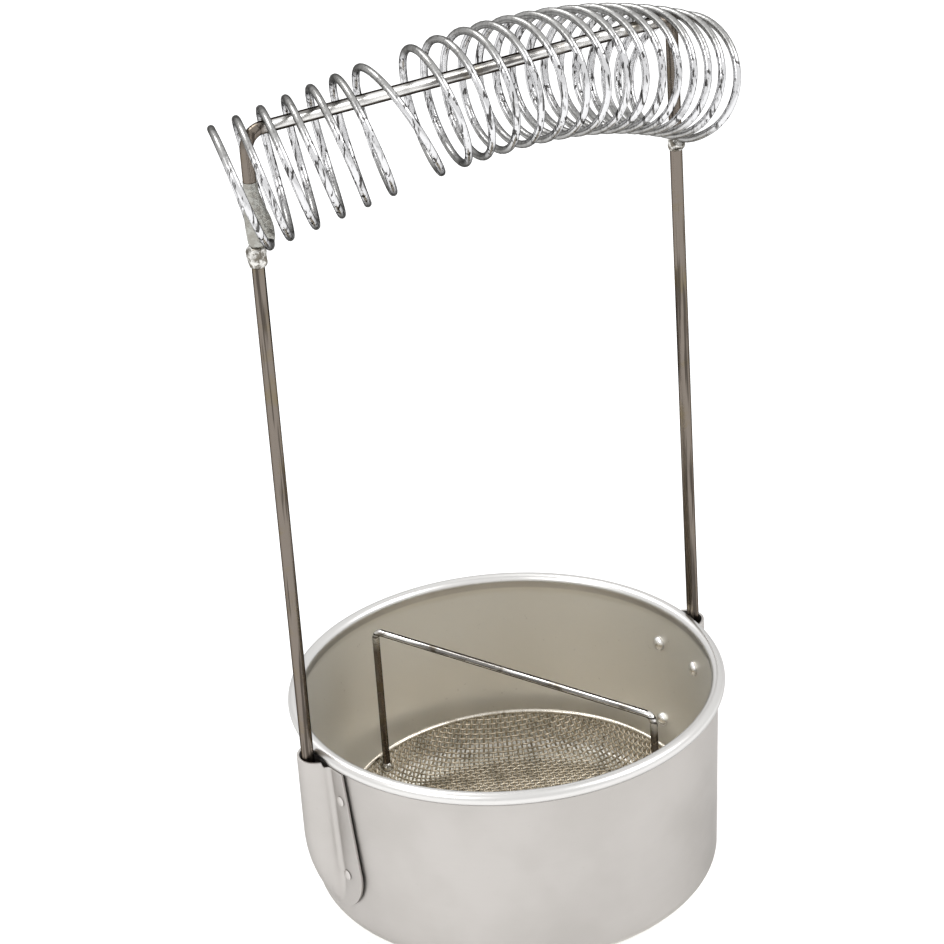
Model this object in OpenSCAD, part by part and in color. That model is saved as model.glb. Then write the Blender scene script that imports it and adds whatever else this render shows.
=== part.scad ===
// Brush washer: a spun aluminium cup, a lift-out wire holder with a coil that grips brush handles,
// and a lift-out strainer. Millimetres. The origin is the centre of the cup's base, +Z is up and
// +X runs from the left leg of the holder to the right one.

/* [Cup] */
// Outside diameter over the rolled rim
rim_d = 90; // [86:1:94]
// Height from the table to the top of the rim
cup_h = 43; // [42:0.5:46]
// Thickness of the cup's sheet
sheet = 0.8; // [0.6:0.1:1]
// Diameter of the rolled bead at the rim
bead_d = 2.8; // [2.4:0.1:3.2]
// Lean of the wall away from vertical, in degrees
wall_slope = 2.1; // [1.5:0.1:2.5]
// Outside radius of the corner at the base
corner_r = 3; // [2:0.5:4]

/* [Sockets] */
// Thickness of the socket's sheet
plate = 0.5; // [0.4:0.1:0.6]
// Outside radius of the half-round channel that takes a leg
channel_r = 4.2; // [4:0.1:4.4]
// Half of the flange's width at its top
flange_top_w = 8.3; // [8:0.1:9]
// Half of the flange's width above its round end
flange_low_w = 10.4; // [9.5:0.1:11]
// Height of the flange's round end above the table
flange_foot = 5.2; // [5:0.1:6]
// Radius that the channel sweeps in along to meet the wall
channel_sweep_r = 30; // [29:0.5:31]
// Inside radius that the flange is bent to, flatter than the wall
flange_r = 56; // [55:0.5:58]

/* [Rivets] */
// Diameter of a rivet's shank
shank_d = 1.6; // [1.4:0.1:1.8]
// Diameter of the domed head inside the cup
head_d = 2.7; // [2.4:0.1:3]
// Diameter of the low head on the flange
tail_d = 2.2; // [2:0.1:2.4]
// Height of the upper two rivets above the table
upper_rivets_z = 33; // [32:0.5:34]
// Distance between the upper two
upper_rivets_w = 13.4; // [13.2:0.1:13.8]
// Height of the lower two rivets above the table
lower_rivets_z = 14.6; // [14:0.2:15.2]
// Distance between the lower two
lower_rivets_w = 11.4; // [11.2:0.1:12]

/* [Holder frame] */
// Diameter of the frame's rod
rod_d = 2.5; // [2.3:0.1:2.6]
// Height of the top bar's centreline above the table
bar_z = 174.4; // [173.5:0.1:174.4]
// Centreline radius of the two top corners
frame_bend_r = 3.5; // [3.5:0.5:4]
// Height of the legs' lower ends above the table
leg_foot = 24; // [24:0.5:30]

/* [Coil] */
// Diameter of the coil's wire
wire_d = 1.5; // [1.3:0.1:1.6]
// Outside diameter of the coil
coil_d = 25.2; // [25.1:0.1:25.6]
// Number of turns
turns = 22; // [21:1:23]
// Spacing of the last turn at the right, tighter than at the left
pitch_right = 2.8; // [2.7:0.05:3]
// Turn from which the spacing tightens
taper_turn = 6.5; // [5.5:0.5:7.5]
// Extra opening between two turns, where a brush handle is pushed in
brush_gap = 5.4; // [4.5:0.1:5.8]
// Turn at which that opening begins
gap_turn = 6.9; // [6.5:0.1:7]
// How far outside the left leg the coil's axis begins
left_overhang = 6.3; // [6:0.1:6.6]
// How far outside the right leg the coil's axis ends
right_overhang = 3.6; // [3.5:0.1:3.9]
// Height of the coil's axis at its left end
axis_left_z = 163.6; // [163.5:0.1:163.9]
// Rise of the axis at its left end, in degrees
axis_left_slope = 6; // [6:1:7]
// Height of the coil's axis at its right end
axis_right_z = 161.4; // [161.3:0.1:161.7]
// Droop of the axis at its right end, in degrees
axis_right_slope = -25; // [-26:1:-25]
// How far the loops turn about the vertical at the left end, in degrees
yaw_left = 20; // [15:1:22]
// How far the loops turn about the vertical at the right end, in degrees
yaw_right = -16; // [-18:1:-10]
// Extra lean of the loops left of the wide opening, in degrees
left_lean = 6; // [4:1:7]

/* [Strainer] */
// Outside diameter of the strainer's rim
strainer_d = 74.4; // [72:0.2:75]
// Height of the middle of the strainer's rim above the table
strainer_rim_z = 11.7; // [11:0.1:12.5]
// Outside radius of the strainer's flat floor
floor_r = 34.5; // [33.5:0.5:34.5]
// Diameter of the handle's wire
handle_d = 1.5; // [1.3:0.1:1.6]
// Height of the handle's top bar's centreline above the table
handle_z = 43.6; // [42:0.2:45]
// Centreline radius of the handle's two corners
handle_bend_r = 1.8; // [1.6:0.1:2.4]
// How far the handle's feet reach below the middle of the strainer's rim
handle_drop = 2.2; // [2:0.1:2.6]
// Direction of the handle's top bar, in degrees from +X
handle_turn = -66; // [-70:1:-60]
// How far the loose strainer lies off the cup's centre
strainer_shift = 1.2; // [0:0.1:2]
// Spacing of the bars in the mesh floor
mesh_pitch = 4; // [4:0.5:6]
// Width of a bar in the mesh floor
mesh_bar = 1; // [0.8:0.1:1.2]
// Direction of the weave, in degrees from +X
weave_turn = -25; // [-45:5:45]

/* [Hidden] */
$fn = 64;

aluminium_grey = [0.82, 0.80, 0.78];
rivet_grey = [0.88, 0.87, 0.85];
plated_steel = [0.72, 0.70, 0.67];
bright_wire = [0.80, 0.80, 0.82];
solder_grey = [0.75, 0.74, 0.72];
mesh_brown = [0.52, 0.48, 0.42];

// Clearances: at a soldered or sewn joint, between sheets that lie together, beside the legs in
// their sockets, and under the strainer
joint_gap = 0.03;
lap_gap = 0.1;
lift_gap = 0.25;
floor_gap = 0.3;
// How far a cut runs past a face
past = 1;

rim_r = rim_d / 2;
bead_r = bead_d / 2;
bead_z = cup_h - bead_r;
leg_x = rim_r + rod_d / 2 + lift_gap;

// Outside radius of the cup's wall at a height
function wall_r(z) = rim_r - bead_r - (bead_z - z) * tan(wall_slope);

// Points of an arc in a plane, from one angle to another
function arc(centre, r, from, to, steps = 8) =
    [for (i = [0:steps]) let (a = from + (to - from) * i / steps) centre + r * [cos(a), sin(a)]];

// A smooth step from 0 to 1
function ease(t) = let (c = min(max(t, 0), 1)) c * c * (3 - 2 * c);

// A rod bent to an upside-down U in the XZ plane, its legs at plus and minus half_span
module bent_rod(half_span, foot_z, top_z, d, bend_r) {
    corner_z = top_z - bend_r;
    for (side = [-1, 1]) {
        translate([side * half_span, 0, foot_z]) cylinder(d = d, h = corner_z - foot_z);
        translate([side * (half_span - bend_r), 0, corner_z])
            rotate([90, 0, 0])
                rotate([0, 0, side > 0 ? 0 : 90])
                    rotate_extrude(angle = 90) translate([bend_r, 0]) circle(d = d, $fn = 32);
    }
    translate([-(half_span - bend_r), 0, top_z])
        rotate([0, 90, 0]) cylinder(d = d, h = 2 * (half_span - bend_r));
}

// Places its children on the four rivet axes of the right socket, with +X along the rivet
// outwards and x = 0 on the outside of the cup's wall
module at_rivets() {
    for (row = [[upper_rivets_z, upper_rivets_w], [lower_rivets_z, lower_rivets_w]], side = [-1, 1])
        rotate([0, 0, side * asin(row[1] / 2 / wall_r(row[0]))])
            translate([wall_r(row[0]), 0, row[0]]) children();
}

module rivet_holes() {
    at_rivets() translate([-sheet - past, 0, 0]) rotate([0, 90, 0])
        cylinder(d = shank_d + 2 * lap_gap, h = sheet + plate + 2 * past, $fn = 32);
}

module cup() {
    foot_r = wall_r(corner_r) - corner_r;
    corner = [foot_r, corner_r];
    color(aluminium_grey) difference() {
        rotate_extrude() {
            polygon(concat(
                [[0, 0]],
                arc(corner, corner_r, -90, 0),
                [[wall_r(bead_z), bead_z], [wall_r(bead_z) - sheet, bead_z]],
                arc(corner, corner_r - sheet, 0, -90),
                [[0, sheet]]));
            translate([rim_r - bead_r, bead_z]) circle(r = bead_r, $fn = 32);
        }
        for (turn = [0, 180]) rotate([0, 0, turn]) rivet_holes();
    }
}

// The flange's outline across the wall, with its round end at the bottom
module flange_outline() {
    end = [0, flange_foot + flange_low_w];
    polygon(concat(
        [[-flange_top_w, bead_z - bead_r - lap_gap]],
        arc(end, flange_low_w, 180, 360, 24),
        [[flange_top_w, bead_z - bead_r - lap_gap]]));
}

// The channel as a solid: upright for the leg, then swept in to the wall. The swept part is a
// little slimmer and starts inside the upright one.
module channel(r, top_z) {
    sweep = 45;
    sunk = 0.5;
    channel_x = leg_x + rod_d / 2 + lift_gap - (channel_r - plate);
    translate([channel_x, 0, leg_foot - sunk]) cylinder(r = r, h = top_z - leg_foot + sunk);
    translate([channel_x - channel_sweep_r, 0, leg_foot])
        rotate([90, 0, 0]) rotate([0, 0, -sweep]) rotate_extrude(angle = sweep)
            translate([channel_sweep_r, 0]) circle(r = r - lap_gap / 2, $fn = 48);
}

// The space that the cup and its bead take up, which a socket stays clear of
module cup_envelope() {
    under_bead = bead_z - bead_r - lap_gap;
    translate([0, 0, -past]) cylinder(r1 = wall_r(-past) + lap_gap,
        r2 = wall_r(under_bead) + lap_gap, h = under_bead + past, $fn = 128);
    translate([0, 0, under_bead]) cylinder(r = rim_r + lap_gap, h = cup_h, $fn = 128);
}

// The flange is flatter than the wall, so its edges stand a little off it
module socket() {
    socket_top = bead_z - 4 * lap_gap;
    difference() {
        union() {
            intersection() {
                translate([wall_r(0) + 2 * lap_gap, 0, 0])
                    rotate([0, wall_slope, 0])
                        translate([-flange_r, 0, 0]) difference() {
                            cylinder(r = flange_r + plate, h = cup_h, $fn = 128);
                            translate([0, 0, -past])
                                cylinder(r = flange_r, h = cup_h + 2 * past, $fn = 128);
                        }
                rotate([90, 0, 90]) linear_extrude(height = rim_d) flange_outline();
            }
            channel(channel_r, socket_top);
        }
        channel(channel_r - plate, cup_h + past);
        cup_envelope();
        rivet_holes();
    }
}

module right_socket() { color(aluminium_grey) socket(); }

module left_socket() { color(aluminium_grey) rotate([0, 0, 180]) socket(); }

// A rivet along +X: a dome inside the cup, the shank, and a low head on the flange
module rivet() {
    dome_h = 0.8;
    tail_h = 0.3;
    flange_lift = 0.38;
    inner_face = -sheet - lap_gap;
    outer_face = plate + flange_lift + lap_gap;
    rotate([0, 90, 0]) rotate_extrude($fn = 32) polygon(concat(
        [[0, inner_face - dome_h]],
        [for (i = [1:6]) let (a = 15 * i) [head_d / 2 * sin(a), inner_face - dome_h * cos(a)]],
        [[shank_d / 2, inner_face], [shank_d / 2, outer_face]],
        [for (i = [6:-1:1]) let (a = 15 * i) [tail_d / 2 * sin(a), outer_face + tail_h * cos(a)]],
        [[0, outer_face + tail_h]]));
}

module right_rivets() { color(rivet_grey) at_rivets() rivet(); }

module left_rivets() { color(rivet_grey) rotate([0, 0, 180]) at_rivets() rivet(); }

module holder_frame() {
    color(plated_steel) bent_rod(leg_x, leg_foot, bar_z, rod_d, frame_bend_r);
}

// The coil's axis is an arch in the XZ plane. A place on the coil is counted in turns: the wire
// is at the top of the coil at each whole turn and runs down its front side from there.
coil_r = (coil_d - wire_d) / 2;
first_turn = 0.5;
last_turn = turns + 0.5;
tight_turns = last_turn - taper_turn;
gap_turns = 0.6;
axis_x0 = -leg_x - left_overhang;
axis_x1 = leg_x + right_overhang;
// Spacing of the turns at the left, which brings the axis to its right end
pitch_left = (axis_x1 - axis_x0 - brush_gap - pitch_right * tight_turns / 2)
    / (turns - tight_turns / 2);
function coil_run(u) =
    let (tight = max(0, u - taper_turn))
    pitch_left * u - (pitch_left - pitch_right) * tight * tight / (2 * tight_turns)
    + brush_gap * ease((u - gap_turn) / gap_turns);
function axis_x(u) = axis_x0 + coil_run(u) - coil_run(first_turn);

// Height and slope of the arch, a cubic between its two ends
axis_len = axis_x1 - axis_x0;
rise0 = axis_len * tan(axis_left_slope);
rise1 = axis_len * tan(axis_right_slope);
function arch_z(t) =
    (2 * t^3 - 3 * t^2 + 1) * axis_left_z + (t^3 - 2 * t^2 + t) * rise0
    + (3 * t^2 - 2 * t^3) * axis_right_z + (t^3 - t^2) * rise1;
function arch_slope(t) = atan((
    (6 * t^2 - 6 * t) * (axis_left_z - axis_right_z) + (3 * t^2 - 4 * t + 1) * rise0
    + (3 * t^2 - 2 * t) * rise1) / axis_len);

// The loops lean with the arch and turn slowly about the vertical on the way to the right
lean_from = 8;
lean_to = 10;
yaw_from = 3;
yaw_to = 17;
function loop_lean(u) =
    arch_slope((axis_x(u) - axis_x0) / axis_len)
    + left_lean * (1 - ease((u - lean_from) / (lean_to - lean_from)));
function loop_yaw(u) =
    yaw_left + (yaw_right - yaw_left) * ease((u - yaw_from) / (yaw_to - yaw_from));

// Outward direction of the wire from the axis
function coil_out(u) =
    let (s = loop_lean(u), w = loop_yaw(u), a = 360 * u)
    [
        -sin(s) * cos(a) - sin(w) * cos(s) * sin(a),
        -cos(w) * sin(a),
        cos(s) * cos(a) - sin(w) * sin(s) * sin(a)
    ];
function coil_plain(u) =
    [axis_x(u), 0, arch_z((axis_x(u) - axis_x0) / axis_len)] + coil_r * coil_out(u);

// The first and last half turns draw in to the legs, and the left leg pushes one turn aside
leg_push = 1.3;
push_reach = 0.3;
draw_in = 0.5;
left_pull = -leg_x - coil_plain(first_turn)[0];
right_pull = leg_x - coil_plain(last_turn)[0];
function coil_point(u) = coil_plain(u) + [
    left_pull * (1 - ease((u - first_turn) / draw_in))
    + right_pull * (1 - ease((last_turn - u) / draw_in))
    + leg_push * exp(-((u - first_turn - 1) / push_reach)^2), 0, 0];

// The wire's two ends run straight into the solder collars on the legs
collar_r = 1.9;
collar_h = 4.4;
collar_drop = 2;
left_collar_z = coil_point(first_turn)[2] - collar_drop;
right_collar_z = coil_point(last_turn)[2] - collar_drop;
end_y = collar_r + lap_gap;
ring_step = 1 / 8;
coil_rings = [for (u = [first_turn + ring_step:ring_step:last_turn - ring_step / 2]) u];
down = [0, 0, -1];
coil_path = concat(
    [[-leg_x, end_y, left_collar_z], [-leg_x, end_y + wire_d, left_collar_z]],
    [for (u = coil_rings) coil_point(u)],
    [[leg_x, -end_y - wire_d, right_collar_z], [leg_x, -end_y, right_collar_z]]);
coil_outs = concat([down, down], [for (u = coil_rings) coil_out(u)], [down, down]);

// Least distance between parts of the wire that are at least half a turn apart
coil_gap = min([for (i = [0:len(coil_path) - 5], j = [i + 4:len(coil_path) - 1])
    norm(coil_path[i] - coil_path[j])]) - wire_d;
echo(coil_least_gap_to_itself = coil_gap);

// A tube of six sides along a path; outs holds a direction across the path at each point
module wire_tube(path, outs, d) {
    sides = 6;
    last = len(path) - 1;
    rings = [for (i = [0:last])
        let (along = path[min(i + 1, last)] - path[max(i - 1, 0)],
            dir = along / norm(along),
            out = outs[i] - (outs[i] * dir) * dir,
            up = out / norm(out),
            across = cross(dir, up))
        for (k = [0:sides - 1]) let (a = 360 * k / sides)
            path[i] + d / 2 * (cos(a) * up + sin(a) * across)];
    skin = [for (i = [0:last - 1], k = [0:sides - 1])
        let (a = i * sides + k, b = i * sides + (k + 1) % sides)
        each [[a, a + sides, b], [b, a + sides, b + sides]]];
    start = [for (k = [1:sides - 2]) [0, k, k + 1]];
    finish = [for (k = [1:sides - 2]) [last * sides, last * sides + k + 1, last * sides + k]];
    polyhedron(rings, concat(skin, start, finish), convexity = 20);
}

module coil_spring() { color(bright_wire) wire_tube(coil_path, coil_outs, wire_d); }

// Solder run round a leg, with rounded ends
module solder_collar(x, z) {
    hole_r = rod_d / 2 + joint_gap;
    translate([x, 0, z]) rotate_extrude($fn = 32) polygon(concat(
        [[hole_r, -collar_h / 2]],
        [for (i = [0:8]) let (a = -90 + 22.5 * i)
            [hole_r + (collar_r - hole_r) * cos(a)^0.5, collar_h / 2 * sin(a)]],
        [[hole_r, collar_h / 2]]));
}

module left_solder_collar() { color(solder_grey) solder_collar(-leg_x, left_collar_z); }

module right_solder_collar() { color(solder_grey) solder_collar(leg_x, right_collar_z); }

mesh_t = 0.8;
mesh_z = sheet + floor_gap;
rim_wire_r = 0.5;
strainer_rim_r = strainer_d / 2 - rim_wire_r;
wall_top_z = strainer_rim_z - rim_wire_r - joint_gap;
wall_top_r = strainer_rim_r + mesh_t / 4;

// Outside radius of the strainer's sloping wall at a height
function mesh_wall_r(z) =
    floor_r + (wall_top_r - floor_r) * (z - mesh_z) / (strainer_rim_z - mesh_z);

// One piece of mesh pressed to a shallow dish. Its flat floor has square gaps, turned as the
// weave is, and its sloping wall is closed.
module strainer_mesh() {
    gap = mesh_pitch - mesh_bar;
    border = 2;
    count = ceil(floor_r / mesh_pitch);
    color(mesh_brown) translate([strainer_shift, 0, 0]) difference() {
        rotate_extrude($fn = 96) polygon([
            [0, mesh_z], [mesh_wall_r(mesh_z), mesh_z],
            [mesh_wall_r(wall_top_z), wall_top_z], [mesh_wall_r(wall_top_z) - mesh_t, wall_top_z],
            [mesh_wall_r(mesh_z + mesh_t) - mesh_t, mesh_z + mesh_t], [0, mesh_z + mesh_t]]);
        rotate([0, 0, weave_turn]) for (i = [-count:count], j = [-count:count])
            let (reach = norm([abs(i) * mesh_pitch + gap / 2, abs(j) * mesh_pitch + gap / 2]))
            if (reach < floor_r - border)
                translate([i * mesh_pitch - gap / 2, j * mesh_pitch - gap / 2, mesh_z - past])
                    cube([gap, gap, mesh_t + 2 * past]);
    }
}

module strainer_rim() {
    color(mesh_brown) translate([strainer_shift, 0, strainer_rim_z]) rotate_extrude($fn = 96)
        translate([strainer_rim_r, 0]) circle(r = rim_wire_r, $fn = 24);
}

// The handle's legs stand inside the sloping wall and are soldered to it
handle_foot = strainer_rim_z - handle_drop;
handle_half = mesh_wall_r(handle_foot) - mesh_t - handle_d / 2 - lap_gap;

module strainer_handle() {
    color(plated_steel) translate([strainer_shift, 0, 0]) rotate([0, 0, handle_turn])
        bent_rod(handle_half, handle_foot, handle_z, handle_d, handle_bend_r);
}

// A cone of solder round each foot, cut back where the sloping wall stands
module strainer_solder_joints() {
    joint_r = 1.3;
    joint_h = 2;
    hole_r = handle_d / 2 + joint_gap;
    color(solder_grey) translate([strainer_shift, 0, 0]) rotate([0, 0, handle_turn]) difference() {
        for (side = [-1, 1]) translate([side * handle_half, 0, handle_foot]) difference() {
            cylinder(r1 = joint_r, r2 = hole_r + lap_gap, h = joint_h, $fn = 32);
            translate([0, 0, -past]) cylinder(r = hole_r, h = joint_h + 2 * past, $fn = 32);
        }
        rotate_extrude($fn = 96) polygon([
            [mesh_wall_r(0) - mesh_t - joint_gap, 0], [rim_r, 0], [rim_r, strainer_rim_z],
            [mesh_wall_r(strainer_rim_z) - mesh_t - joint_gap, strainer_rim_z]]);
    }
}

cup();
left_socket();
right_socket();
left_rivets();
right_rivets();
holder_frame();
coil_spring();
left_solder_collar();
right_solder_collar();
strainer_mesh();
strainer_rim();
strainer_handle();
strainer_solder_joints();
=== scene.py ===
import math

import bpy
import numpy as np
from mathutils import Matrix, Vector


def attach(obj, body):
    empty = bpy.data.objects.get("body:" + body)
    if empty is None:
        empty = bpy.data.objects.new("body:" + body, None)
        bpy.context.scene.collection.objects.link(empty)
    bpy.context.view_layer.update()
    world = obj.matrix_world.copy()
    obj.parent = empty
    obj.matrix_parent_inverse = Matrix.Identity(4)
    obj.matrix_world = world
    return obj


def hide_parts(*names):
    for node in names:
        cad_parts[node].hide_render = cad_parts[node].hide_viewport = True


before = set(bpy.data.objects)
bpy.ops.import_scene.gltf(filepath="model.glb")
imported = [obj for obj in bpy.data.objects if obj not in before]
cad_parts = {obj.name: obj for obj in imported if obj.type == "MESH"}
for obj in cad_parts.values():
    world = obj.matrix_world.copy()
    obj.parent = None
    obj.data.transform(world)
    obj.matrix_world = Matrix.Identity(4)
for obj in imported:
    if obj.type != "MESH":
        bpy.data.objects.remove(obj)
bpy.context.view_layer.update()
scene = bpy.context.scene
scene.view_settings.view_transform = "Standard"
MM = 0.001


# ---- Camera -------------------------------------------------------------------------------
# A long lens, left of the front and about 27 degrees above the table. It leans a little, as the
# legs of the holder do in the picture.
camera_lens = 122.777
camera_turn, camera_rise, camera_lean = -0.5072, 0.47354, -0.0704
camera_place = Vector((-280.234, -496.185, 382.698)) * MM

towards = Vector((math.sin(camera_turn) * math.cos(camera_rise),
                  -math.cos(camera_turn) * math.cos(camera_rise), math.sin(camera_rise)))
level = Vector((0, 0, 1)).cross(towards).normalized()
steep = towards.cross(level)
across = math.cos(camera_lean) * level + math.sin(camera_lean) * steep
upright = math.cos(camera_lean) * steep - math.sin(camera_lean) * level
camera = bpy.data.objects.new("camera", bpy.data.cameras.new("camera"))
camera.data.lens = camera_lens
camera.data.sensor_width = 36
camera.data.clip_end = 50
camera.matrix_world = Matrix.Translation(camera_place) @ Matrix(
    (across, upright, towards)).transposed().to_4x4()
scene.collection.objects.link(camera)
scene.camera = camera


# ---- Cup ----------------------------------------------------------------------------------
# A cup spun from one aluminium sheet. Its rim is rolled outwards to a bead, its flat foot has a
# small round corner, and the spinning tool leaves fine rings on a satin skin.
rim_r, cup_height, sheet, bead_r = 45.0, 43.0, 0.8, 1.4
wall_tan, corner_r, flat_foot_r = math.tan(math.radians(2.1)), 3.0, 20
bead_z = cup_height - bead_r
under_bead = bead_z - bead_r
wall_levels, wall_end = (8, 16, 24, 32), under_bead - 0.02
bead_inner_stop, bead_inner_fade = 205, 1.6
cup_steps, bead_steps, bead_inner_steps, fade_steps = 320, 22, 12, 6
corner_steps, inner_corner_steps = 12, 10
ring_mm, sheet_patch_mm, speck_mm = 0.7, 17, 1.3
sheet_dark, sheet_pale, speck_grey = (0.485, 0.463, 0.44), (0.535, 0.512, 0.49), (0.42, 0.40, 0.37)
# Painted light: the inside of the cup is painted pale against its shade, and the bead light, a
# painted highlight
inside_painted_light, bead_painted_highlight = (0.93, 0.915, 0.865), (0.70, 0.69, 0.675)


def ease(t):
    """A step from 0 to 1 that starts and stops gently."""
    c = min(max(t, 0.0), 1.0)
    return c * c * (3 - 2 * c)


def round_trip(steps):
    """The angles of so many equal steps all the way round, in radians."""
    return [2 * math.pi * k / steps for k in range(steps)]


def arc(centre, r, start, stop, steps):
    """Points of an arc, its angles in degrees."""
    turn = np.radians(np.linspace(start, stop, steps))
    return [(centre[0] + r * c, centre[1] + r * s) for c, s in zip(np.cos(turn), np.sin(turn))]


def wall_r(z):
    """Outside radius of the cup's wall at a height."""
    return rim_r - bead_r - (bead_z - z) * wall_tan


def mesh_of(name, points, faces, material, crease=35):
    """A smooth mesh from points in mm, creased where its faces meet at more than an angle."""
    mesh = bpy.data.meshes.new(name)
    mesh.from_pydata([Vector(p) * MM for p in points], [], faces)
    mesh.materials.append(material)
    mesh.shade_smooth()
    mesh.set_sharp_from_angle(angle=math.radians(crease))
    mesh.update()
    return mesh


def joined(rings):
    """Faces that join each ring of point numbers to the next one."""
    faces = []
    for low, high in zip(rings, rings[1:]):
        for k in range(len(low)):
            n = (k + 1) % len(low)
            face = list(dict.fromkeys([low[k], low[n], high[n], high[k]]))
            if len(face) > 2:
                faces.append(face)
    return faces


def lathe(name, profile, material, steps):
    """Turns (radius, height) points round the cup's axis."""
    points, rings = [], []
    for r, z in profile:
        if r < 1e-6:
            rings.append([len(points)] * steps)
            points.append((0, 0, z))
        else:
            rings.append(list(range(len(points), len(points) + steps)))
            points += [(r * math.cos(a), r * math.sin(a), z) for a in round_trip(steps)]
    return mesh_of(name, points, joined(rings), material)


def settle(name, mesh, body, node):
    """Puts a finished mesh in the place of the CAD node that it stands for."""
    piece = bpy.data.objects.new(name, mesh)
    scene.collection.objects.link(piece)
    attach(piece, body)
    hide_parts(node)
    return piece


class Shade:
    """A number, colour or place in a material, so that its maths reads as sums."""

    def __init__(self, tree, socket):
        self.tree, self.socket = tree, socket

    def node(self, kind, inputs, out=0, **settings):
        """Adds a node, sets and links its inputs, and gives one of its outputs."""
        made = self.tree.nodes.new(kind)
        for name, value in settings.items():
            setattr(made, name, value)
        for name, value in inputs.items():
            self.put(made.inputs[name], value)
        return Shade(self.tree, made.outputs[out])

    def put(self, socket, value):
        """Links a Shade to a socket, or sets the socket to a plain value."""
        if isinstance(value, Shade):
            self.tree.links.new(value.socket, socket)
        else:
            socket.default_value = value

    def axis(self, number):
        """One of the three parts of a place."""
        return self.node("ShaderNodeSeparateXYZ", {0: self}, out=number)

    def sum(self, operation, *values):
        """The result of one maths operation, such as ADD, on Shades and numbers."""
        return self.node("ShaderNodeMath", dict(enumerate(values)), operation=operation)

    def __add__(self, other):
        return self.sum("ADD", self, other)

    def __radd__(self, other):
        return self.sum("ADD", other, self)

    def __sub__(self, other):
        return self.sum("SUBTRACT", self, other)

    def __rsub__(self, other):
        return self.sum("SUBTRACT", other, self)

    def __mul__(self, other):
        return self.sum("MULTIPLY", self, other)

    def __rmul__(self, other):
        return self.sum("MULTIPLY", other, self)


def metal(name, edge=1.0):
    """A bare metal's material, its shader, and where a point lies on the piece."""
    made = bpy.data.materials.new(name)
    made.use_nodes = True
    tree = made.node_tree
    shader = tree.nodes["Principled BSDF"]
    shader.inputs["Metallic"].default_value = 1.0
    shader.inputs["Specular Tint"].default_value = (edge, edge, edge, 1)
    where = Shade(tree, tree.nodes.new("ShaderNodeTexCoord").outputs["Object"])
    return made, shader, where


def dress(shader, colour, rough, height, depth_mm):
    """Gives a shader its colour and roughness, and lets a height in the skin shape its light."""
    bump = height.node("ShaderNodeBump", {"Height": height, "Distance": depth_mm * MM})
    for socket, value in (("Base Color", colour), ("Roughness", rough), ("Normal", bump)):
        value.put(shader.inputs[socket], value)


def place_at(x, y, z):
    """A place in a material from its three parts, the first of which is a Shade."""
    return x.node("ShaderNodeCombineXYZ", {0: x, 1: y, 2: z})


def off_axis(where):
    """How far a place lies from the cup's axis."""
    flat = where.node("ShaderNodeVectorMath", {0: where, 1: (1, 1, 0)}, operation="MULTIPLY")
    return where.node("ShaderNodeVectorMath", {0: flat}, out=1, operation="LENGTH")


def noise(where, size_mm, detail=3, roughness=0.5, stretch=(1, 1, 1)):
    """Soft patches about so many mm across, longer along a side where stretch is below 1."""
    spread = where.node("ShaderNodeVectorMath", {0: where, 1: stretch}, operation="MULTIPLY")
    return where.node("ShaderNodeTexNoise", {
        "Vector": spread, "Scale": 1 / (size_mm * MM), "Detail": detail, "Roughness": roughness})


def between(value, low, high, start=0.0, stop=1.0):
    """start where a value is below low, stop where it is above high, and a smooth step between."""
    return value.node("ShaderNodeMapRange", {
        "Value": value, "From Min": low, "From Max": high, "To Min": start, "To Max": stop},
        interpolation_type="SMOOTHSTEP")


def blend(factor, first, second):
    """One colour where the factor is 0, the other where it is 1."""
    first, second = ((*c, 1) if isinstance(c, tuple) else c for c in (first, second))
    return factor.node("ShaderNodeMix", {0: factor, 6: first, 7: second}, out=2,
                       data_type="RGBA")


def satin_aluminium(name, bead_from=None):
    """Satin sheet with fine rings, soft patches and small specks. Given the height where a bead
    starts, the bead is painted light, a painted highlight, and the inside of the cup an even pale,
    painted light against the shade in it."""
    made, shader, where = metal(name, edge=0.55)
    out, height = off_axis(where), where.axis(2)
    rings = noise(place_at(out, height, 0.0), ring_mm, detail=4, roughness=0.7)
    patches = noise(where, sheet_patch_mm)
    specks = between(noise(where, speck_mm, detail=4, roughness=0.65), 0.65, 0.77)
    colour = blend(between(patches, 0.3, 0.7), sheet_dark, sheet_pale)
    rough = 0.36 + patches * 0.1 + rings * 0.08
    if bead_from:
        # Painted light: a pale inside against the cup's shade, and a light bead, a painted
        # highlight
        inside = between(out - height * wall_tan, (wall_r(0) - sheet) * MM, wall_r(0) * MM,
                         1.0, 0.0)
        bright = between(height, (bead_from - 0.3) * MM, (bead_from + 0.3) * MM)
        colour = blend(bright, blend(inside, colour, inside_painted_light), bead_painted_highlight)
        rough = rough - bright * 0.16
    dress(shader, blend(specks * 0.3, colour, speck_grey), rough, rings * 0.5 + patches * 6, 0.012)
    return made


foot_corner = (wall_r(corner_r) - corner_r, corner_r)
bead = (rim_r - bead_r, bead_z)
inner = arc(bead, bead_r, 90, bead_inner_stop, bead_inner_steps)
last_r, last_z = inner[-1]
for t in np.linspace(0, 1, fade_steps + 1)[1:]:
    z = last_z + (under_bead - bead_inner_fade - last_z) * t
    inner.append((last_r + (wall_r(z) - sheet - last_r) * ease(t), z))
cup_profile = (
    [(0, 0), (flat_foot_r, 0)] + arc(foot_corner, corner_r, -90, 2, corner_steps)
    + [(wall_r(z), z) for z in (*wall_levels, wall_end)]
    + arc(bead, bead_r, -90, 90, bead_steps) + inner[1:]
    + [(wall_r(z) - sheet, z) for z in reversed(wall_levels)]
    + arc(foot_corner, corner_r - sheet, 2, -90, inner_corner_steps)
    + [(flat_foot_r, sheet), (0, sheet)])
cup_aluminium = satin_aluminium("spun_aluminium", bead_from=under_bead)
settle("spun_cup", lathe("spun_cup", cup_profile, cup_aluminium, cup_steps), "cup", "cup")


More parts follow.
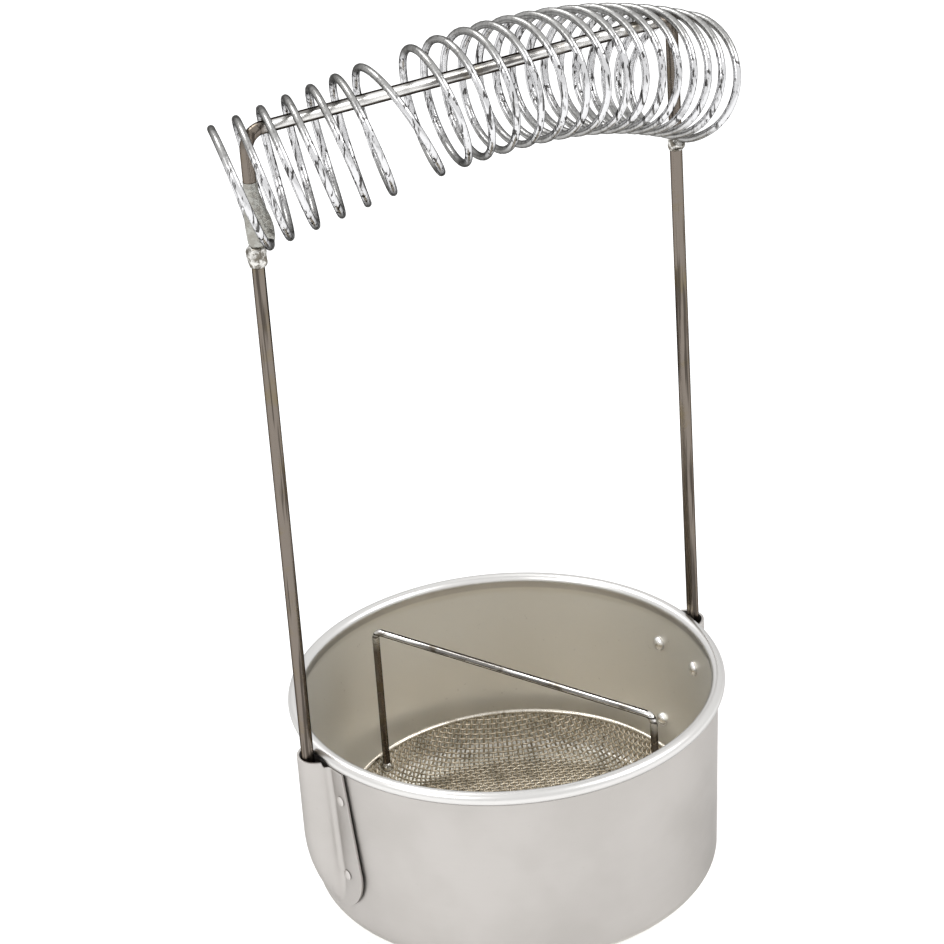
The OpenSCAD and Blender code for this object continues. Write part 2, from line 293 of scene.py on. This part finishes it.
# ---- Sockets ------------------------------------------------------------------------------
# Two sheet pressings, one each side of the cup. Each has a round channel that a leg drops into,
# swept in to nothing near the bottom, and a flange that is riveted to the wall.
plate, wall_gap, channel_r, fillet_r = 0.5, 0.2, 4.2, 1.0
channel_x, sweep_r, sweep_z = 44.3, 30.0, 24.0
flange_top_z, flange_top_w = under_bead - 0.12, 8.3
flange_foot, flange_low_w, flange_bend_r = 5.2, 10.4, 56.0
round_z = flange_foot + flange_low_w
lip_z, lip_share, lip_clear, lip_fade = 41.2, 0.2, 0.3, 0.45
upper_rivets, lower_rivets = (33.0, 13.4), (14.6, 11.4)
dimple_depth, dimple_r = 0.16, 1.5
socket_crease, edge_round = 60, 0.12
socket_rows, foot_rows, channel_points, fillet_points, flange_points = 42, 27, 27, 9, 13


def socket_face(z):
    """Outer face of the flange at its middle line."""
    return wall_r(0) + wall_gap + plate + z * wall_tan


def socket_rise(z):
    """The channel's centre, where its fillet ends, and the angle at which the two meet."""
    crest = channel_x + channel_r
    if z < sweep_z:
        crest = channel_x - sweep_r + math.sqrt((sweep_r + channel_r) ** 2 - (sweep_z - z) ** 2)
    rise = max(crest - socket_face(z), 0)
    centre = socket_face(z) + rise - channel_r
    reach = channel_r + fillet_r
    side = math.sqrt(max(reach ** 2 - (reach - rise) ** 2, 0))
    return centre, side, math.atan2(side, reach - rise)


def socket_skin(y, z):
    """Outer face of the socket at a point of its front view."""
    centre, side, meet = socket_rise(z)
    face, y = socket_face(z), abs(y)
    if y < channel_r * math.sin(meet):
        return centre + math.sqrt(channel_r ** 2 - y ** 2)
    if y < side:
        return face + fillet_r - math.sqrt(fillet_r ** 2 - (side - y) ** 2)
    return face


def socket_half(z, width):
    """Half of the outline across the socket, from the crest of the channel outwards."""
    centre, side, meet = socket_rise(z)
    face = socket_face(z)
    half = [(channel_r * math.sin(a), centre + channel_r * math.cos(a))
            for a in np.linspace(0, meet, channel_points)]
    half += [(side + fillet_r * math.sin(b), face + fillet_r + fillet_r * math.cos(b))
             for b in np.linspace(math.pi + meet, math.pi, fillet_points)[1:]]
    return half + [(y, face) for y in np.linspace(side, width, flange_points)[1:]]


def socket_mesh(name, side):
    """The pressing's outer skin, turned to its side of the cup."""
    rows = []
    for t in np.linspace(1, 0, socket_rows):
        z = round_z + (flange_top_z - round_z) * t
        half = socket_half(z, flange_low_w + (flange_top_w - flange_low_w) * t)
        lift = max(0, (t - (1 - lip_share)) / lip_share) * (lip_z - flange_top_z)
        row = [(y, x, z + lift * ease((x - rim_r - lip_clear) / lip_fade)) for y, x in half]
        rows.append([(-y, x, z) for y, x, z in row[:0:-1]] + row)
    widest = rows[-1]
    for v in np.linspace(0, 1, foot_rows)[1:]:
        row = []
        for u in (y / flange_low_w for y, _, _ in widest):
            y = flange_low_w * u * math.sqrt(1 - v * v / 2)
            z = round_z - flange_low_w * v * math.sqrt(1 - u * u / 2)
            row.append((y, socket_skin(y, z), z))
        rows.append(row)
    points, count = [], len(widest)
    for y, x, z in (p for row in rows for p in row):
        for rivet_z, spread in (upper_rivets, lower_rivets):
            near = math.hypot(abs(y) - spread / 2, z - rivet_z)
            x -= dimple_depth * math.exp(-(near / dimple_r) ** 2)
        points.append((side * (x - y * y / (2 * flange_bend_r)), side * y, z))
    faces = [[a, a + count, a + count + 1, a + 1] for i in range(len(rows) - 1)
             for a in range(i * count, (i + 1) * count - 1)]
    return mesh_of(name, points, faces, satin_aluminium(name + "_aluminium"), socket_crease)


for node, side in (("right_socket", 1), ("left_socket", -1)):
    pressing = settle("pressed_" + node, socket_mesh(node, side), "cup", node)
    thick = pressing.modifiers.new("sheet", "SOLIDIFY")
    thick.thickness, thick.offset, thick.use_even_offset = plate * MM, -1, True
    edge = pressing.modifiers.new("edge", "BEVEL")
    edge.width, edge.segments, edge.limit_method = edge_round * MM, 2, "ANGLE"
    edge.angle_limit = math.radians(socket_crease)
    edge.use_clamp_overlap = True


# ---- Rivets -------------------------------------------------------------------------------
# Four soft aluminium rivets hold each socket. Their bright domed heads are inside the cup and
# their tails are set almost flat on the flange.
rivet_head_r, rivet_head_h, rivet_tail_r, rivet_tail_h = 1.6, 0.95, 1.1, 0.2
rivet_inside, rivet_outside, tail_fade = -sheet - 0.1, plate + 0.38, 0.3
head_low, head_high, tail_dull = (0.86, 0.85, 0.83), (0.95, 0.94, 0.92), (0.60, 0.575, 0.55)


class Tree:
    """A Geometry Nodes tree in the making."""

    def __init__(self, name, **inputs):
        self.tree = bpy.data.node_groups.new(name, "GeometryNodeTree")
        self.tree.interface.new_socket("Base", in_out="INPUT", socket_type="NodeSocketGeometry")
        for label, kind in inputs.items():
            self.tree.interface.new_socket(
                label.replace("_", " "), in_out="INPUT", socket_type="NodeSocket" + kind)
        self.tree.interface.new_socket("Piece", in_out="OUTPUT", socket_type="NodeSocketGeometry")
        self.given = self.tree.nodes.new("NodeGroupInput").outputs

    def add(self, kind, inputs=(), **settings):
        """Adds a node, sets and links its inputs, and gives its first output."""
        made = self.tree.nodes.new(kind)
        for name, value in settings.items():
            setattr(made, name, value)
        for name, value in dict(inputs).items():
            for one in value if isinstance(value, list) else [value]:
                if isinstance(one, bpy.types.NodeSocket):
                    self.tree.links.new(one, made.inputs[name])
                else:
                    made.inputs[name].default_value = one
        return made.outputs[0]

    def close(self, shape):
        """Ends the tree in a real mesh of one metal."""
        smooth = self.add("GeometryNodeSetShadeSmooth", {"Geometry": shape})
        real = self.add("GeometryNodeRealizeInstances", {"Geometry": smooth})
        dressed = self.add("GeometryNodeSetMaterial",
                           {"Geometry": real, "Material": self.given["Metal"]})
        self.tree.links.new(dressed, self.tree.nodes.new("NodeGroupOutput").inputs[0])
        return self.tree


def grow(name, points, edges, tree, body, node, **inputs):
    """Runs a tree on points in mm, keeps the result as a plain mesh and settles it."""
    base = bpy.data.meshes.new(name + "_base")
    base.from_pydata([Vector(p) * MM for p in points], edges, [])
    seed = bpy.data.objects.new(name + "_base", base)
    scene.collection.objects.link(seed)
    modifier = seed.modifiers.new("grow", "NODES")
    modifier.node_group = tree
    for item in tree.interface.items_tree:
        label = item.name.replace(" ", "_")
        if item.in_out == "INPUT" and label in inputs:
            modifier[item.identifier] = inputs[label]
    graph = bpy.context.evaluated_depsgraph_get()
    mesh = bpy.data.meshes.new_from_object(seed.evaluated_get(graph), depsgraph=graph)
    mesh.name = name
    bpy.data.objects.remove(seed)
    return settle(name, mesh, body, node)


def rivet_tree():
    """Places a rivet at each point, along the line from the cup's axis."""
    t = Tree("rivets", Head_radius="Float", Head_height="Float", Tail_radius="Float",
             Tail_height="Float", Inside="Float", Outside="Float", Metal="Material")
    ends = []
    for radius, height, place in (("Head radius", "Head height", "Inside"),
                                  ("Tail radius", "Tail height", "Outside")):
        ball = t.add("GeometryNodeMeshUVSphere", {"Segments": 28, "Rings": 14, "Radius": 1.0})
        scale = t.add("ShaderNodeCombineXYZ",
                      {0: t.given[height], 1: t.given[radius], 2: t.given[radius]})
        shift = t.add("ShaderNodeCombineXYZ", {0: t.given[place]})
        ends.append(t.add("GeometryNodeTransform",
                          {"Geometry": ball, "Scale": scale, "Translation": shift}))
    rivet = t.add("GeometryNodeJoinGeometry", {"Geometry": ends})
    place = t.add("GeometryNodeInputPosition")
    level = t.add("ShaderNodeVectorMath", {0: place, 1: (1, 1, 0)}, operation="MULTIPLY")
    turn = t.add("FunctionNodeAlignRotationToVector", {"Vector": level}, axis="X")
    return t.close(t.add("GeometryNodeInstanceOnPoints", {
        "Points": t.given["Base"], "Instance": rivet, "Rotation": turn}))


def rivet_aluminium():
    """Aluminium that is bright on the heads inside the cup and dull on the tails outside."""
    made, shader, where = metal("rivet_aluminium")
    marks = noise(where, 0.9)
    tail = between(off_axis(where), (wall_r(0) - tail_fade) * MM,
                   (wall_r(0) + tail_fade) * MM)
    colour = blend(tail, blend(marks, head_low, head_high), tail_dull)
    dress(shader, colour, 0.2 + tail * 0.2, marks, 0.03)
    return made


rivet_metal = rivet_aluminium()
rivets = rivet_tree()
for node, side in (("right_rivets", 1), ("left_rivets", -1)):
    seats = []
    for z, spread in (upper_rivets, lower_rivets):
        for turn in (-1, 1):
            a = turn * math.asin(spread / 2 / wall_r(z))
            seats.append((side * wall_r(z) * math.cos(a), side * wall_r(z) * math.sin(a), z))
    grow("set_" + node, seats, [], rivets, "cup", node, Metal=rivet_metal,
         Head_radius=rivet_head_r * MM, Head_height=rivet_head_h * MM,
         Tail_radius=rivet_tail_r * MM, Tail_height=rivet_tail_h * MM,
         Inside=rivet_inside * MM, Outside=rivet_outside * MM)


# ---- Holder frame -------------------------------------------------------------------------
# One steel rod bent to an upside-down U and nickel plated. It stands loose in the two sockets.
# The legs and bends are painted dark brown, a painted reflection, and the top light, a painted
# highlight, with painted dark reflection lines on its crest and underside. The plating has dulled
# in patches on the bar.
rod_r, leg_x, leg_foot, bar_z, frame_bend_r = 1.25, 46.5, 24.0, 174.4, 3.5
# Painted light: legs and bends painted dark brown, a painted reflection, and the top light, a
# painted highlight
leg_painted_brown, top_painted_highlight, patch_olive = (0.20, 0.172, 0.147), (0.80, 0.79, 0.77), (0.20, 0.165, 0.11)
# Painted reflection: dark lines along the bar's crest and underside; the long dark draw lines are
# partly painted reflection streaks too
painted_reflection_dark, rod_line_and_painted_streak_dark = (0.045, 0.035, 0.028), (0.045, 0.037, 0.03)
bend_points, draw_line_mm, draw_line_stretch = 17, 0.8, 0.03
# Where the painted highlight on the top starts and is full: so many mm under the bar, and short of
# its ends
painted_highlight_under, painted_highlight_short = (5, 1), (2.5, 5.5)
# Where the dark painted reflection lines start and stop, from -1 at the bar's underside to 1 at
# its crest
crest_starts, under_starts, under_stops = (0.88, 0.96), (-0.2, -0.38), (-0.7, -0.85)


def turned(x, y, degrees):
    """A point's x and y once it is turned about the upright axis."""
    c, s = math.cos(math.radians(degrees)), math.sin(math.radians(degrees))
    return x * c - y * s, x * s + y * c


def wire_tree():
    """Draws wire along the edges of a mesh."""
    t = Tree("drawn wire", Wire_radius="Float", Sides="Int", Metal="Material")
    path = t.add("GeometryNodeMeshToCurve", {"Mesh": t.given["Base"]})
    round_wire = t.add("GeometryNodeCurvePrimitiveCircle", {
        "Resolution": t.given["Sides"], "Radius": t.given["Wire radius"]})
    return t.close(t.add("GeometryNodeCurveToMesh", {
        "Curve": path, "Profile Curve": round_wire, "Fill Caps": True}))


def bent_rod(half, foot_z, top_z, bend_r, turn=0.0, centre_x=0.0):
    """The centre line of a rod that is bent to an upside-down U."""
    side = [(half, foot_z)] + arc((half - bend_r, top_z - bend_r), bend_r, 0, 90, bend_points)
    line = []
    for along, z in [(-x, z) for x, z in side] + side[::-1]:
        x, y = turned(along, 0, turn)
        line.append((centre_x + x, y, z))
    return line


def run_of(points):
    """The edges that join points in one run."""
    return [(i, i + 1) for i in range(len(points) - 1)]


def bent_rod_plating(name, top_z, radius, patch_mm, turn=0.0, painted_dark_bend_at=None):
    """Plating painted dark brown on the legs, a painted reflection, and light on the top, a
    painted highlight, between two dark lines of painted reflection, up to its bends or, given how
    far out these are, just short of them."""

    def past(levels):
        """A smooth step from 0 to 1 between two levels on the bar."""
        return between(z, *((top_z + level * radius) * MM for level in levels))

    made, shader, where = metal(name, edge=0.0)
    z = where.axis(2)
    along, aside = turned(where.axis(0), where.axis(1), -turn)
    # The top is painted light, a painted highlight; the legs and bends stay dark, a painted
    # reflection
    on_top = between(z, *((top_z - under) * MM for under in painted_highlight_under))
    if painted_dark_bend_at:
        full, start = (((painted_dark_bend_at - short) * MM) ** 2 for short in reversed(painted_highlight_short))
        on_top = on_top * between(along * along, full, start, 1.0, 0.0)
    leg_lines = noise(place_at(along, aside, z * draw_line_stretch), draw_line_mm)
    top_lines = noise(place_at(along * draw_line_stretch, aside, z), draw_line_mm)
    lines = leg_lines + (top_lines - leg_lines) * on_top
    patches = noise(where, patch_mm, detail=4, roughness=0.6)
    # Dark lines along the crest and underside of the top: painted reflection
    under = past(under_starts) - past(under_stops)
    darkening = (past(crest_starts) + under * on_top) * (0.95 - between(patches, 0.52, 0.62) * 0.3)
    colour = blend(on_top, leg_painted_brown, top_painted_highlight)
    colour = blend(between(patches, 0.5, 0.68) * 0.8, colour, patch_olive)
    colour = blend(darkening, colour, painted_reflection_dark)
    # Long dark draw lines, which are also painted reflection streaks
    colour = blend(between(lines, 0.52, 0.62) * 0.8, colour, rod_line_and_painted_streak_dark)
    dress(shader, colour, 0.16 + patches * 0.2, patches * 2 + lines, 0.03)
    return made


drawn_wire = wire_tree()
frame_path = bent_rod(leg_x, leg_foot, bar_z, frame_bend_r)
frame_metal = bent_rod_plating("nickel_plated_rod", bar_z, rod_r, 6, painted_dark_bend_at=leg_x)
grow("bent_frame", frame_path, run_of(frame_path), drawn_wire, "holder", "holder_frame",
     Wire_radius=rod_r * MM, Sides=32, Metal=frame_metal)


# ---- Coil ---------------------------------------------------------------------------------
# One bright plated wire wound 22 times round the bar. Its turns close up towards the right, one
# gap near the left third is wide open, and the coil droops at both ends. Its loops don't stand
# square to the bar: they lean back at the left and turn slowly round on the way to the right.
wire_r, coil_r, coil_turns, turn_steps = 0.75, 11.85, 22, 48
first_turn, last_turn, taper_turn, pitch_right = 0.5, 22.5, 6.5, 2.8
gap_turn, gap_turns, brush_gap = 6.9, 0.6, 5.4
axis_start, axis_end = -leg_x - 6.3, leg_x + 3.6
axis_start_z, axis_end_z = 163.6, 161.4
start_slope, end_slope = math.tan(math.radians(6)), math.tan(math.radians(-25))
left_lean, lean_from, lean_to = math.radians(6), 8, 10
yaw_left, yaw_right, yaw_from, yaw_to = math.radians(20), math.radians(-16), 3, 17
leg_push, push_reach, draw_in = 1.3, 0.3, 0.5
left_sink, right_sink, sink_steps = 2.0, 0.8, turn_steps // 8
axis_length = axis_end - axis_start
axis_fall = axis_start_z - axis_end_z
start_rise = axis_length * start_slope
end_rise = axis_length * end_slope
tight_turns = last_turn - taper_turn
pitch_left = ((axis_length - brush_gap - pitch_right * tight_turns / 2)
              / (coil_turns - tight_turns / 2))
# Painted light: the sides of each loop painted bright, a painted highlight, and the crest and foot
# grey, a painted reflection
side_painted_highlight, loop_end_painted_grey = (0.72, 0.72, 0.73), (0.39, 0.388, 0.38)
# The long dark draw lines are also painted reflection streaks
coil_line_and_painted_streak_dark, patch_grey = (0.05, 0.047, 0.045), (0.16, 0.157, 0.15)


def coil_run(u):
    """How far along its axis the coil has come after so many turns."""
    tight = max(0.0, u - taper_turn)
    return (pitch_left * u - (pitch_left - pitch_right) * tight ** 2 / (2 * tight_turns)
            + brush_gap * ease((u - gap_turn) / gap_turns))


def axis_height(t):
    """Height of the coil's axis at a share of its length. It is a cubic, and t may be a Shade."""
    return (((t * (2 * axis_fall + start_rise + end_rise)
              - (3 * axis_fall + 2 * start_rise + end_rise)) * t + start_rise) * t + axis_start_z)


def coil_plain(u):
    """The wire's centre line after so many turns, before its ends are drawn in."""
    x = axis_start + coil_run(u) - coil_run(first_turn)
    t = (x - axis_start) / axis_length
    slope = ((3 * (2 * axis_fall + start_rise + end_rise) * t
              - 2 * (3 * axis_fall + 2 * start_rise + end_rise)) * t + start_rise) / axis_length
    lean = math.atan(slope) + left_lean * (1 - ease((u - lean_from) / (lean_to - lean_from)))
    yaw = yaw_left + (yaw_right - yaw_left) * ease((u - yaw_from) / (yaw_to - yaw_from))
    high, side = math.cos(2 * math.pi * u), math.sin(2 * math.pi * u)
    return Vector((x, 0, axis_height(t))) + coil_r * Vector((
        -math.sin(lean) * high - math.sin(yaw) * math.cos(lean) * side, -math.cos(yaw) * side,
        math.cos(lean) * high - math.sin(yaw) * math.sin(lean) * side))


def coil_point(u):
    """The wire's centre line, drawn in to the legs at its ends and pushed aside by one."""
    left = (-leg_x - coil_plain(first_turn).x) * (1 - ease((u - first_turn) / draw_in))
    right = (leg_x - coil_plain(last_turn).x) * (1 - ease((last_turn - u) / draw_in))
    push = leg_push * math.exp(-((u - first_turn - 1) / push_reach) ** 2)
    return coil_plain(u) + Vector((left + right + push, 0, 0))


def coil_plating():
    """Plating painted bright on the sides of each loop, a painted highlight, and grey at the crest
    and foot, a painted reflection, where it is also rougher. Its long dark draw lines are also
    painted reflection streaks.
    """
    made, shader, where = metal("bright_coil_wire", edge=0.05)
    share = (where.axis(0) - axis_start * MM) * (1 / (axis_length * MM))
    rise = (where.axis(2) - axis_height(share) * MM) * (1 / (coil_r * MM))
    # The crest and foot of each loop, painted grey, a painted reflection; they are also rougher
    painted_grey_ends = between(rise * rise, 0.3, 0.85)
    lines = noise(where, 0.6, roughness=0.6, stretch=(1, 1, 0.1))
    patches = noise(where, 2.4, roughness=0.6)
    colour = blend(painted_grey_ends, side_painted_highlight, loop_end_painted_grey)
    colour = blend(between(lines, 0.54, 0.6) * (0.95 - painted_grey_ends * 0.65), colour, coil_line_and_painted_streak_dark)
    colour = blend(between(patches, 0.56, 0.7) * 0.45, colour, patch_grey)
    dress(shader, colour, 0.12 + painted_grey_ends * 0.16 + patches * 0.06, patches * 2 + lines, 0.03)
    return made


coil_path = [coil_point(u) for u in np.linspace(
    first_turn, last_turn, coil_turns * turn_steps + 1)]
# The wire leaves each leg in a soft bend that takes an eighth of a turn
for k in range(sink_steps):
    sink = Vector((0, 0, 1 - ease(k / sink_steps)))
    coil_path[k] -= left_sink * sink
    coil_path[-1 - k] -= right_sink * sink
grow("wound_coil", coil_path, run_of(coil_path), drawn_wire, "holder", "coil_spring",
     Wire_radius=wire_r * MM, Sides=14, Metal=coil_plating())


# ---- Solder collars -----------------------------------------------------------------------
# Where an end of the coil meets a leg, solder was run round both. It set in an uneven lump,
# drawn out along the wire.
collar_sizes = (("left_solder_collar", -1, 150.0, 1.9, 4.4),
                ("right_solder_collar", 1, 148.7, 1.65, 2.9))
collar_bite, collar_draw, draw_narrow, draw_tall = 0.05, 0.9, 3, 0.5
collar_fullness, collar_rings, collar_sides, lump_crease = 2.6, 23, 40, 70
collar_waves = (0.16, 3, 4, 1), (0.12, 2, 5, 0), (0.08, 7, -6, 0)
solder_bright, solder_dull = (0.72, 0.71, 0.68), (0.17, 0.155, 0.13)


def solder(name, bright=solder_bright, dull=solder_dull):
    """Solder that set with a rippled skin and dulled in its hollows."""
    made, shader, where = metal(name, edge=0.5)
    ripples = noise(where, 1.1, roughness=0.6)
    dress(shader, blend(between(ripples, 0.42, 0.62), dull, bright), 0.34 - ripples * 0.2,
          ripples, 0.22)
    return made


def ripple(waves, a, v, side=0):
    """How far a lump's skin stands out at an angle and a height. Each wave has its size, how
    fast it goes round and up, and how far the lump's side shifts it."""
    return sum(size * math.sin(turns * a + up * v + shift * side)
               for size, turns, up, shift in waves)


def lump(rings, before=0, foot=True):
    """Points and faces of a solid built up from rings of points, closed at its ends."""
    count = len(rings[0])
    numbers = [list(range(before + j * count, before + (j + 1) * count))
               for j in range(len(rings))]
    ends = ([numbers[0][::-1]] if foot else []) + [numbers[-1]]
    return [point for ring in rings for point in ring], joined(numbers) + ends


collar_metal = solder("run_solder")
for node, side, collar_z, collar_r, collar_h in collar_sizes:
    rings = []
    for v in np.linspace(-1, 1, collar_rings):
        swell = max(1 - abs(v) ** collar_fullness, 0) ** 0.5
        ring = []
        for a in round_trip(collar_sides):
            toward = (max(-side * math.sin(a), 0) ** draw_narrow
                      * math.exp(-(v / draw_tall) ** 2))
            wave = ripple(collar_waves, a, v, side)
            r = (rod_r - collar_bite + (collar_r - rod_r) * swell * (1 + wave)
                 + collar_draw * toward * swell)
            ring.append((side * leg_x + r * math.cos(a), r * math.sin(a),
                         collar_z + v * collar_h / 2))
        rings.append(ring)
    settle("run_" + node, mesh_of(node, *lump(rings), collar_metal, lump_crease), "holder", node)

# At the left the solder also ran up between the leg and the first turn, and set as a smooth web
web_low, web_high, web_foot, web_lean, web_back = 151.4, 164.8, 0.12, 1.15, 0.5
web_wide, web_spread, web_narrows, web_deep, web_belly = 1.35, 1.35, 0.25, 1.45, 0.35
web_waves, web_rings, web_sides = ((0.03, 2, 6, 0), (0.02, 5, -9, 0)), 27, 36
web_bright, web_dull = (0.40, 0.40, 0.37), (0.31, 0.30, 0.27)
rings = []
for v in np.linspace(0, 1, web_rings):
    full = math.sqrt(1 - (1 - min(v / web_foot, 1.0)) ** 2)
    wide = (web_wide + web_spread * (1 - ease((v - web_narrows) / (1 - web_narrows)))) * full
    deep = (web_deep + web_belly * math.sin(math.pi * v)) * full
    ring = []
    for a in round_trip(web_sides):
        wave = 1 + ripple(web_waves, a, v)
        ring.append((-leg_x + web_lean * (1 - ease(v)) + wide * wave * math.cos(a),
                     -web_back * (1 - v) + deep * wave * math.sin(a),
                     web_low + v * (web_high - web_low)))
    rings.append(ring)
web = bpy.data.objects.new("left_solder_web", mesh_of(
    "left_solder_web", *lump(rings, foot=False), solder("smooth_solder", web_bright, web_dull),
    lump_crease))
scene.collection.objects.link(web)
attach(web, "holder")


# ---- Strainer cloth -----------------------------------------------------------------------
# The strainer's dish is one round piece of plain woven wire cloth, pressed to a flat floor with
# a low sloping wall. The wires run straight across the floor and on up the wall.
strainer_x, cloth_floor_r, cloth_floor_z = 1.2, 34.5, 1.5
wall_run, wall_rise, press_r = 2.1, 10.2, 1.2
cloth_pitch, cloth_wire_r, cloth_crimp, weave_turn = 1.12, 0.23, 0.2, -25
cloth_slant = math.hypot(wall_run, wall_rise)
cloth_r = cloth_floor_r + cloth_slant
cloth_bright, cloth_dull = (0.60, 0.53, 0.42), (0.38, 0.33, 0.25)


def pressed(x, y, lift):
    """Where a point of the flat cloth lies once it is pressed to the dish."""
    r, turn = math.hypot(x, y), math.atan2(y, x)
    up = (r - cloth_floor_r) / press_r
    if abs(up) > 1:
        bend, slant = (0 if up < 0 else 1), max(r - cloth_floor_r, 0)
        out = min(r, cloth_floor_r)
    else:
        bend, slant = (up + 1) / 2, press_r * (up + 1) ** 2 / 4
        out = r - slant
    out += slant * wall_run / cloth_slant - lift * bend * wall_rise / cloth_slant
    z = cloth_floor_z + slant * wall_rise / cloth_slant + lift * (1 - bend)
    return strainer_x + out * math.cos(turn), out * math.sin(turn), z


def strainer_wire(name, bright, dull, wear, roughness, patch_mm, edge):
    """Drawn wire with fine pits that has gone dull in patches, in more of them with more wear."""
    made, shader, where = metal(name, edge)
    patches = noise(where, patch_mm, detail=4, roughness=0.6)
    darkening = between(patches, 0.62 - wear, 0.72 - wear / 2)
    pits = between(noise(where, 0.45, roughness=0.6), 0.6, 0.7)
    dress(shader, blend(darkening, bright, dull), roughness + darkening * 0.16 + pits * 0.1,
          patches * 2 - pits * 0.5, 0.05)
    return made


cloth_points, cloth_edges = [], []
wires = int(cloth_r / cloth_pitch)
for warp in (0, 1):
    for i in range(-wires, wires + 1):
        aside = i * cloth_pitch
        half_steps = int(math.sqrt(cloth_r ** 2 - aside ** 2) / (cloth_pitch / 2))
        start = len(cloth_points)
        for k in range(-half_steps, half_steps + 1):
            along = k * cloth_pitch / 2
            over = 0 if k % 2 else (1 if (k // 2 + i + warp) % 2 else -1)
            flat = (along, aside) if warp else (aside, along)
            cloth_points.append(pressed(*turned(*flat, weave_turn), over * cloth_crimp))
        cloth_edges += [(n, n + 1) for n in range(start, len(cloth_points) - 1)]
cloth_metal = strainer_wire("woven_wire", cloth_bright, cloth_dull, 0.14, 0.4, 5, edge=0.5)
grow("woven_dish", cloth_points, cloth_edges, drawn_wire, "strainer", "strainer_mesh",
     Wire_radius=cloth_wire_r * MM, Sides=4, Metal=cloth_metal)


# ---- Strainer rim -------------------------------------------------------------------------
# The cloth's edge is folded round a wire ring and pressed shut, which leaves a thin bright hem.
hem_r, hem_z, hem_wire_r, hem_steps = 36.7, 11.7, 0.5, 240
hem_bright, hem_dull = (0.66, 0.62, 0.55), (0.34, 0.30, 0.24)
hem_path = [(strainer_x + hem_r * math.cos(a), hem_r * math.sin(a), hem_z)
            for a in round_trip(hem_steps)]
hem_metal = strainer_wire("hem_wire", hem_bright, hem_dull, 0.1, 0.24, 4, edge=0.4)
grow("hemmed_rim", hem_path, run_of(hem_path) + [(hem_steps - 1, 0)], drawn_wire, "strainer",
     "strainer_rim", Wire_radius=hem_wire_r * MM, Sides=14, Metal=hem_metal)


# ---- Strainer handle ----------------------------------------------------------------------
# A thinner plated wire, bent as the frame is, stands across the strainer to lift it out.
handle_wire_r, handle_z, handle_bend_r, handle_turn = 0.75, 43.6, 1.8, -66.0
handle_foot, handle_half = 9.5, 34.75
handle_path = bent_rod(handle_half, handle_foot, handle_z, handle_bend_r, handle_turn, strainer_x)
# The handle's top is painted light, a painted highlight, and its legs dark, a painted reflection
handle_metal = bent_rod_plating("plated_handle_wire", handle_z, handle_wire_r, 4, handle_turn)
grow("bent_handle", handle_path, run_of(handle_path), drawn_wire, "strainer", "strainer_handle",
     Wire_radius=handle_wire_r * MM, Sides=24, Metal=handle_metal)


# ---- Strainer solder ----------------------------------------------------------------------
# A drop of solder holds each foot of the handle to the cloth, just under the hem.
drop_r, drop_h, drop_below, drop_rings, drop_sides = 1.3, 2.6, 0.9, 13, 24
drop_cut, drop_fullness, drop_foot, drop_taper = 0.04, 0.6, 1.1, 0.35
drop_points, drop_faces = [], []
for side in (-1, 1):
    rings = []
    for v in np.linspace(0, 1, drop_rings):
        bulge = math.sin(math.pi * (drop_cut + (1 - 2 * drop_cut) * v)) ** drop_fullness
        r = drop_r * bulge * (drop_foot - drop_taper * v)
        ring = []
        for a in round_trip(drop_sides):
            x, y = turned(side * handle_half + r * math.cos(a), r * math.sin(a), handle_turn)
            ring.append((strainer_x + x, y, handle_foot - drop_below + v * drop_h))
        rings.append(ring)
    points, faces = lump(rings, before=len(drop_points))
    drop_points += points
    drop_faces += faces
drop_mesh = mesh_of("solder_drops", drop_points, drop_faces, solder("drop_solder"), lump_crease)
settle("solder_drops", drop_mesh, "strainer", "strainer_solder_joints")


# ---- Table and light ----------------------------------------------------------------------
# A plain white table in a white room, lit by three soft lamps.
table_half, table_grey, table_glow = 8, (0.82, 0.82, 0.82, 1), 0.42
room_light, lamp_aim = 0.5, Vector((0, 0, 0.08))
white = (1, 1, 1, 1)


def to_the_eye(tree):
    """1 for what is seen straight, in a mirror or through glass, and 0 for the light it gives."""
    rays = tree.nodes.new("ShaderNodeLightPath").outputs
    straight, mirrored, through = (Shade(tree, rays[kind]) for kind in (
        "Is Camera Ray", "Is Glossy Ray", "Is Transmission Ray"))
    return straight.sum("MINIMUM", straight + mirrored + through, 1.0)


floor_mesh = bpy.data.meshes.new("table_top")
floor_mesh.from_pydata([(x * table_half, y * table_half, 0) for x, y in (
    (-1, -1), (1, -1), (1, 1), (-1, 1))], [], [(0, 1, 2, 3)])
floor = bpy.data.objects.new("table_top", floor_mesh)
scene.collection.objects.link(floor)
table_white = bpy.data.materials.new("table_white")
table_white.use_nodes = True
floor_mesh.materials.append(table_white)
floor_shader = table_white.node_tree.nodes["Principled BSDF"]
floor_shader.inputs["Base Color"].default_value = table_grey
floor_shader.inputs["Roughness"].default_value = 0.9
floor_shader.inputs["Specular IOR Level"].default_value = 0.1
floor_shader.inputs["Emission Color"].default_value = white
seen = to_the_eye(table_white.node_tree)
seen.put(floor_shader.inputs["Emission Strength"], seen * table_glow)

world = bpy.data.worlds.new("white_room")
scene.world = world
world.use_nodes = True
room = world.node_tree.nodes["Background"]
room.inputs["Color"].default_value = white
shown = to_the_eye(world.node_tree)
shown.put(room.inputs["Strength"], room_light + shown * (1 - room_light))

for name, place, size, power in (("window_lamp", (0.75, -0.75, 1.1), 0.7, 8.0),
                                 ("fill_lamp", (-1.0, -0.3, 0.9), 0.6, 4.0),
                                 ("top_lamp", (-0.27, 0.6, 1.15), 0.5, 6.0)):
    lamp = bpy.data.lights.new(name, "AREA")
    lamp.size, lamp.energy = size, power
    stand = bpy.data.objects.new(name, lamp)
    facing = (lamp_aim - Vector(place)).to_track_quat("-Z", "Y")
    stand.matrix_world = Matrix.Translation(Vector(place)) @ facing.to_matrix().to_4x4()
    scene.collection.objects.link(stand)


# ---- Scene update -------------------------------------------------------------------------
bpy.context.view_layer.update()
